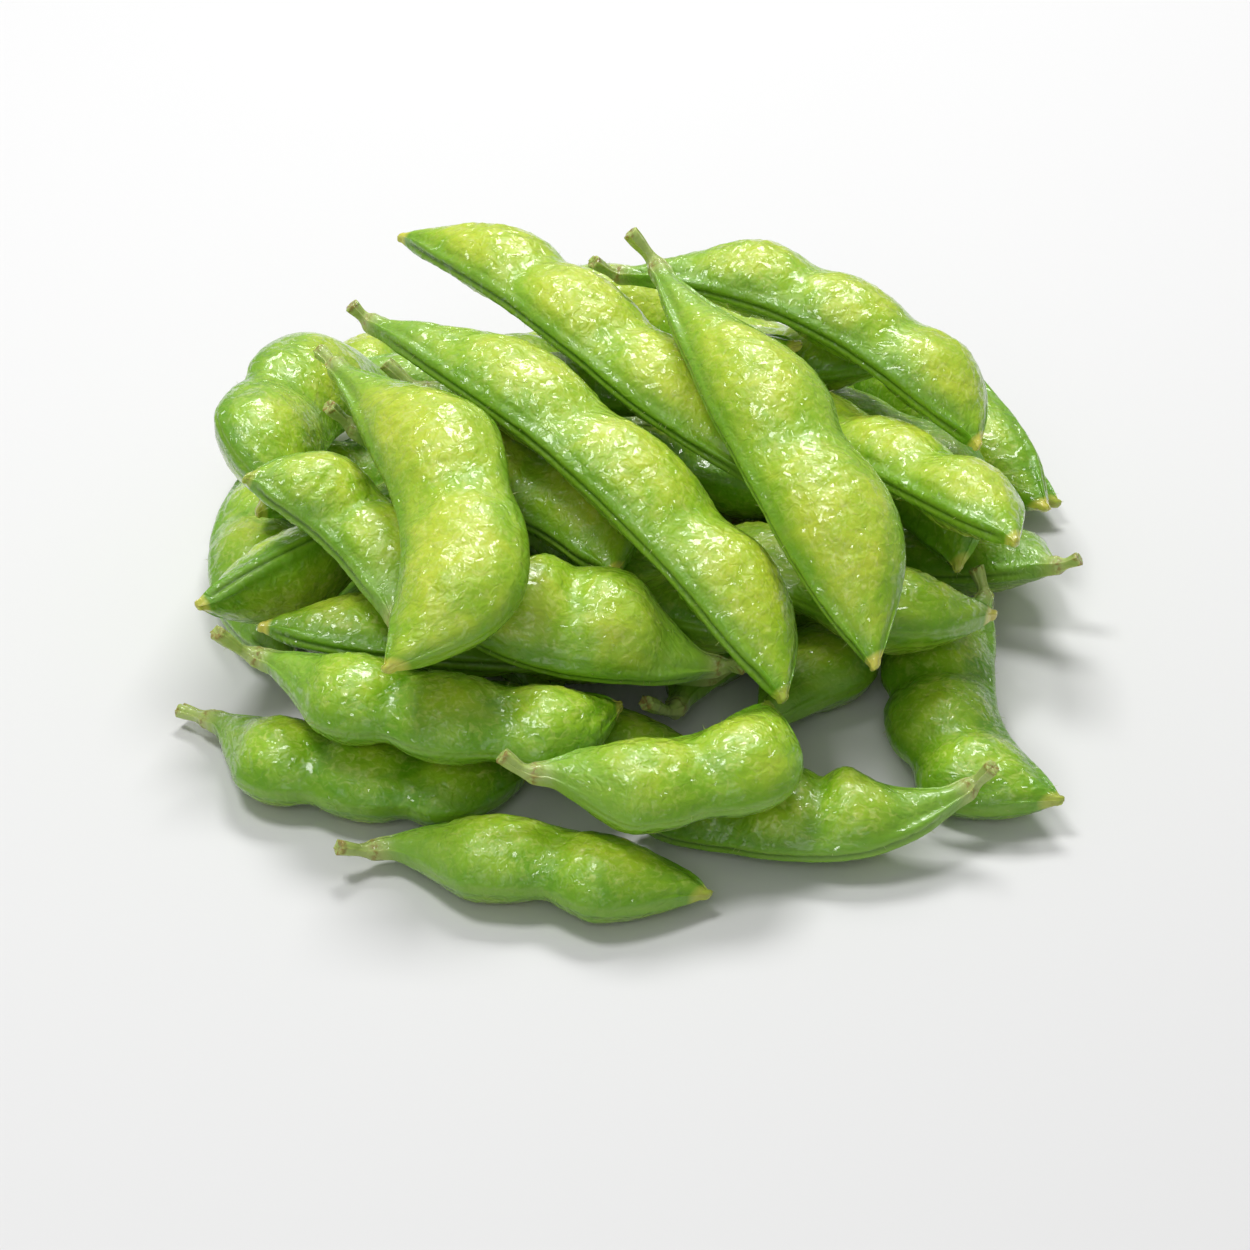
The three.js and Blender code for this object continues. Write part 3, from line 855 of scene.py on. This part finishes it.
@dataclass(frozen=True)
class BoiledSkin:
    """Boiled soybean pod skin, wet with its cooking water: thin, translucent, blistered and glossy.

    The cell layer under the skin is pale over a bean and dark where the pod's two walls meet. The water film
    gives small sharp lights on every wrinkle.
    """

    deep: str = "#689f0c"
    green: str = "#95be22"
    yellow: str = "#bdd038"
    pale: str = "#d3df78"
    rim: str = "#5c960f"
    lip: str = "#9ec43c"
    groove: str = "#426f08"
    neck: str = "#88b340"
    stalk: str = "#a9bb66"
    dry: str = "#8f7a3a"
    nub: str = "#d9d35a"
    patch_mm: float = 5.0
    mottle_mm: float = 1.1
    wrinkle_mm: float = 1.3
    wrinkle_height_mm: float = 0.24
    film_mm: float = 2.6
    film_height_mm: float = 0.86
    pore_mm: float = 0.3
    pore_height_mm: float = 0.03
    fleck_mm: float = 0.6  # the brown flecks of a withered calyx, cut or beak
    dull_patch_mm: float = 3.0
    wet_roughness: tuple[float, float] = (0.34, 0.5)  # the skin itself, under the film: wet to dull
    # How far a bean and a patch turn the skin yellow, and what is taken off so that a plain spot stays green.
    ripe_on_bean: float = 0.35
    ripe_in_patch: float = 0.5
    ripe_start: float = 0.42

    def material(self) -> bpy.types.Material:
        """Builds the shader.

        Returns:
            The material.
        """
        made = bpy.data.materials.new("boiled_pod_skin")
        made.use_nodes = True
        tree = made.node_tree
        tree.nodes.clear()
        place = add_node(tree, "ShaderNodeAttribute", attribute_name="pod_place").outputs["Vector"]
        surface = add_node(
            tree, "ShaderNodeBsdfPrincipled",
            {
                "Base Color": self._colour(tree, place),
                "Roughness": self._roughness(tree, place),
                "Normal": self._relief(tree, place),
                "Coat Normal": self._film(tree, place),
                "IOR": 1.42,
                "Subsurface Weight": 0.3,
                "Subsurface Radius": (0.6, 1.0, 0.25),
                "Subsurface Scale": 0.0022,
                "Coat Weight": 1.0,
                "Coat Roughness": 0.11,
                "Coat IOR": 1.33,
            },
        )
        add_node(tree, "ShaderNodeOutputMaterial", {"Surface": surface.outputs[0]})
        return made

    @staticmethod
    def _pattern(
        tree: bpy.types.NodeTree, place: Any, size_mm: float, low: float, high: float, **more: float
    ) -> bpy.types.NodeSocket:
        """Adds a cloudy pattern.

        Args:
            tree: the material's tree.
            place: the socket of the place that it is read at.
            size_mm: the size of its features, in millimetres.
            low: the value that becomes 0.
            high: the value that becomes 1.
            **more: detail, the number of finer layers, and distortion.

        Returns:
            The pattern.
        """
        inputs = {"Vector": place, "Scale": 1 / size_mm, "Detail": more.get("detail", 2.0)}
        inputs["Distortion"] = more.get("distortion", 0.0)
        noise = add_node(tree, "ShaderNodeTexNoise", inputs).outputs[0]
        ranged = {"Value": noise, "From Min": low, "From Max": high}
        return add_node(tree, "ShaderNodeMapRange", ranged).outputs[0]

    def _colour(self, tree: bpy.types.NodeTree, place: bpy.types.NodeSocket) -> bpy.types.NodeSocket:
        """Lays the skin's colour: patches of green and yellow green, paler over the beans, dark at the rim,
        and a deeper green on the lower layers of the heap, which is painted shade.

        Args:
            tree: the material's tree.
            place: the socket of the place on the pod.

        Returns:
            The colour.
        """
        patch = self._pattern(tree, place, self.patch_mm, 0.3, 0.7, detail=4.0, distortion=0.6)
        masks = {
            name: add_node(tree, "ShaderNodeAttribute", attribute_name=name).outputs["Fac"]
            for name in ("yellowing_with_heap_shade", "bean", "rim", "seam", "groove", "neck", "stalk", "nub", "dry")
        }
        # How yellow the skin turns: from the layer, the beans and the patches. The layer's share is partly
        # painted shade: it is lower deep in the heap, so those pods come out a deeper green.
        ripeness_with_heap_shade = masks["yellowing_with_heap_shade"]
        for share, strength in ((masks["bean"], self.ripe_on_bean), (patch, self.ripe_in_patch)):
            inputs = {0: share, 1: strength, 2: ripeness_with_heap_shade}
            ripeness_with_heap_shade = add_node(tree, "ShaderNodeMath", inputs, operation="MULTIPLY_ADD").outputs[0]
        inputs = {0: ripeness_with_heap_shade, 1: self.ripe_start}
        ripeness_with_heap_shade = add_node(tree, "ShaderNodeMath", inputs, operation="SUBTRACT", use_clamp=True).outputs[0]
        ramp = add_node(tree, "ShaderNodeValToRGB", {0: ripeness_with_heap_shade})
        ramp.color_ramp.elements[0].color = linear(self.deep)
        ramp.color_ramp.elements[1].color = linear(self.yellow)
        ramp.color_ramp.elements.new(0.5).color = linear(self.green)
        colour = ramp.outputs[0]
        mottle = self._pattern(tree, place, self.mottle_mm, 0.5, 0.85, detail=3.0, distortion=1.2)
        fleck = self._pattern(tree, place, self.fleck_mm, 0.42, 0.6, detail=3.0)
        inputs = {0: masks["bean"], 1: 0.5, 2: 0.5}
        on_bean = add_node(tree, "ShaderNodeMath", inputs, operation="MULTIPLY_ADD").outputs[0]
        coats = (
            (mottle, on_bean, self.pale),
            (masks["rim"], 0.75, self.rim),
            (masks["seam"], 0.4, self.lip),
            (masks["groove"], 0.8, self.groove),
            (masks["neck"], 0.55, self.neck),
            (masks["stalk"], 1.0, self.stalk),
            (masks["nub"], 1.0, self.nub),
            (masks["dry"], fleck, self.dry),
        )
        for mask, strength, over in coats:
            share = add_node(tree, "ShaderNodeMath", {0: mask, 1: strength}, operation="MULTIPLY").outputs[0]
            inputs = {0: share, 6: colour, 7: linear(over)}
            colour = add_node(tree, "ShaderNodeMix", inputs, data_type="RGBA").outputs[2]
        return colour

    def _roughness(self, tree: bpy.types.NodeTree, place: bpy.types.NodeSocket) -> bpy.types.NodeSocket:
        """Makes the skin glossy, but duller in patches and on the dry ends.

        Args:
            tree: the material's tree.
            place: the socket of the place on the pod.

        Returns:
            The roughness.
        """
        patch = self._pattern(tree, place, self.dull_patch_mm, 0.3, 0.75)
        wet, dull = self.wet_roughness
        ranged = {"Value": patch, "To Min": wet, "To Max": dull}
        rough = add_node(tree, "ShaderNodeMapRange", ranged).outputs[0]
        dry = add_node(tree, "ShaderNodeAttribute", attribute_name="dry").outputs["Fac"]
        inputs = {0: dry, 1: 0.3, 2: rough}
        return add_node(tree, "ShaderNodeMath", inputs, operation="MULTIPLY_ADD").outputs[0]

    def _relief(self, tree: bpy.types.NodeTree, place: bpy.types.NodeSocket) -> bpy.types.NodeSocket:
        """Adds the fine wrinkles and the pores of the wet skin, which are too fine for the mesh.

        Args:
            tree: the material's tree.
            place: the socket of the place on the pod.

        Returns:
            The normal of the skin.
        """
        wrinkles = self._pattern(tree, place, self.wrinkle_mm, 0.0, 1.0, detail=1.0, distortion=0.8)
        wrinkled = add_node(
            tree, "ShaderNodeBump",
            {"Height": wrinkles, "Distance": self.wrinkle_height_mm * MM, "Strength": 1.0},
        )
        pores = self._pattern(tree, place, self.pore_mm, 0.0, 1.0)
        return add_node(
            tree, "ShaderNodeBump",
            {"Height": pores, "Distance": self.pore_height_mm * MM, "Strength": 1.0,
             "Normal": wrinkled.outputs[0]},
        ).outputs[0]

    def _film(self, tree: bpy.types.NodeTree, place: bpy.types.NodeSocket) -> bpy.types.NodeSocket:
        """Waves the water film, which lies over the wrinkles and breaks every light into short squiggles.

        Args:
            tree: the material's tree.
            place: the socket of the place on the pod.

        Returns:
            The normal of the film.
        """
        waves = self._pattern(tree, place, self.film_mm, 0.0, 1.0, detail=0.8, distortion=1.3)
        return add_node(
            tree, "ShaderNodeBump", {"Height": waves, "Distance": self.film_height_mm * MM, "Strength": 1.0}
        ).outputs[0]


@dataclass(frozen=True)
class DryDown:
    """The pod's down, a fine plant hair: straw coloured and dull."""

    straw: str = "#c9c98a"
    green: str = "#9bb35a"
    grain_mm: float = 10 / 3  # the patches of one colour or the other: a few hairs each

    def material(self) -> bpy.types.Material:
        """Builds the shader.

        Returns:
            The material.
        """
        made = bpy.data.materials.new("dry_plant_down")
        made.use_nodes = True
        tree = made.node_tree
        tree.nodes.clear()
        place = add_node(tree, "ShaderNodeTexCoord").outputs["Object"]
        scale = 1 / (self.grain_mm * MM)
        noise = add_node(tree, "ShaderNodeTexNoise", {"Vector": place, "Scale": scale}).outputs[0]
        inputs = {0: noise, 6: linear(self.straw), 7: linear(self.green)}
        colour = add_node(tree, "ShaderNodeMix", inputs, data_type="RGBA").outputs[2]
        surface = add_node(
            tree, "ShaderNodeBsdfPrincipled", {"Base Color": colour, "Roughness": 0.55, "IOR": 1.5}
        )
        add_node(tree, "ShaderNodeOutputMaterial", {"Surface": surface.outputs[0]})
        return made


# ---- The heap ----


@dataclass
class Heap:
    """All the pods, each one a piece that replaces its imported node."""

    nodes: dict[str, bpy.types.Object]
    relief: SkinRelief = SkinRelief()
    finish: BoiledSkin = BoiledSkin()
    down: DryDown = DryDown()

    def build(self) -> list[bpy.types.Object]:
        """Makes every pod.

        Returns:
            The pieces, in the order of their nodes' names.
        """
        tree = self.relief.tree()
        skin, down = self.finish.material(), self.down.material()
        pieces = []
        for number, (name, node) in enumerate(sorted(self.nodes.items())):
            layer = Layer(name.split("_")[1])
            cage = Cage.of_node(node)
            piece = PodSkin(f"{name}_skin", number, cage, layer).build()
            self.relief.apply(piece, tree, skin=skin, down=down)
            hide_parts(name)
            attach(piece, "root")
            LOG.info("%s: %d beans, %d faces", piece.name, cage.beans, len(piece.data.polygons))
            pieces.append(piece)
        return pieces


# ---- Floor, light and camera ----


@dataclass(frozen=True)
class SoftBox:
    """A soft box that points at the heap."""

    name: str
    place: tuple[float, float, float]
    size: tuple[float, float]
    power: float  # in watts

    def hang(self) -> None:
        """Puts the lamp in its place."""
        data = bpy.data.lights.new(self.name, "AREA")
        data.shape = "RECTANGLE"
        data.size, data.size_y = self.size
        data.energy = self.power
        lamp = bpy.data.objects.new(self.name, data)
        bpy.context.scene.collection.objects.link(lamp)
        lamp.location = self.place
        lamp.rotation_mode = "QUATERNION"
        lamp.rotation_quaternion = (HEAP_MIDDLE - Vector(self.place)).to_track_quat("-Z", "Y")


@dataclass
class Studio:
    """The pale floor, the soft light and the camera."""

    boxes: tuple[SoftBox, ...] = (
        SoftBox("key", (0.05, 0.42, 0.62), (0.3, 0.2), 3.7),
        SoftBox("top", (-0.25, 0.0, 0.75), (0.2, 0.2), 2.6),
        SoftBox("front", (-0.1, -0.6, 0.5), (0.4, 0.3), 0.8),
    )
    floor_size: float = 4.0
    floor_colour: str = "#dcdcdc"
    sky_strength: float = 0.28
    # The camera: where it stands, how far it looks down and to the side, and its lens.
    camera_place: tuple[float, float, float] = (-0.00236, -0.37593, 0.25846)
    camera_pitch_deg: float = 34.42
    camera_yaw_deg: float = 0.145
    lens_mm: float = 96.77
    sensor_mm: float = 36.0

    def build(self) -> None:
        """Makes all of it."""
        self._floor()
        self._sky()
        for box in self.boxes:
            box.hang()
        self._camera()

    def _floor(self) -> None:
        """The floor, a matte pale sheet."""
        half = self.floor_size / 2
        mesh = bpy.data.meshes.new("floor")
        corners = [(-half, -half, 0), (half, -half, 0), (half, half, 0), (-half, half, 0)]
        mesh.from_pydata(corners, [], [(0, 1, 2, 3)])
        floor = bpy.data.objects.new("floor", mesh)
        bpy.context.scene.collection.objects.link(floor)
        made = bpy.data.materials.new("matte_floor")
        made.use_nodes = True
        surface = made.node_tree.nodes["Principled BSDF"]
        surface.inputs["Base Color"].default_value = linear(self.floor_colour)
        surface.inputs["Roughness"].default_value = 0.9
        surface.inputs["Specular IOR Level"].default_value = 0.1
        mesh.materials.append(made)

    def _sky(self) -> None:
        """An even white surrounding."""
        world = bpy.data.worlds.new("studio")
        world.use_nodes = True
        background = world.node_tree.nodes["Background"]
        background.inputs["Color"].default_value = linear("#ffffff")
        background.inputs["Strength"].default_value = self.sky_strength
        bpy.context.scene.world = world

    def _camera(self) -> None:
        """Stands the camera in front of the heap, looking down on it."""
        data = bpy.data.cameras.new("camera")
        data.lens = self.lens_mm
        data.sensor_width = self.sensor_mm
        data.clip_start, data.clip_end = 0.01, 20
        camera = bpy.data.objects.new("camera", data)
        bpy.context.scene.collection.objects.link(camera)
        pitch, yaw = math.radians(self.camera_pitch_deg), math.radians(self.camera_yaw_deg)
        ahead = Vector((math.sin(yaw) * math.cos(pitch), math.cos(yaw) * math.cos(pitch), -math.sin(pitch)))
        camera.location = self.camera_place
        camera.rotation_mode = "QUATERNION"
        camera.rotation_quaternion = ahead.to_track_quat("-Z", "Y")
        bpy.context.scene.camera = camera


def main() -> None:
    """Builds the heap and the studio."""
    logging.basicConfig(level=logging.INFO, format="%(message)s")
    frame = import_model()
    bpy.context.scene.view_settings.view_transform = "Standard"
    Heap(frame["nodes"]).build()
    Studio().build()
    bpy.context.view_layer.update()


if __name__ == "__main__":
    main()
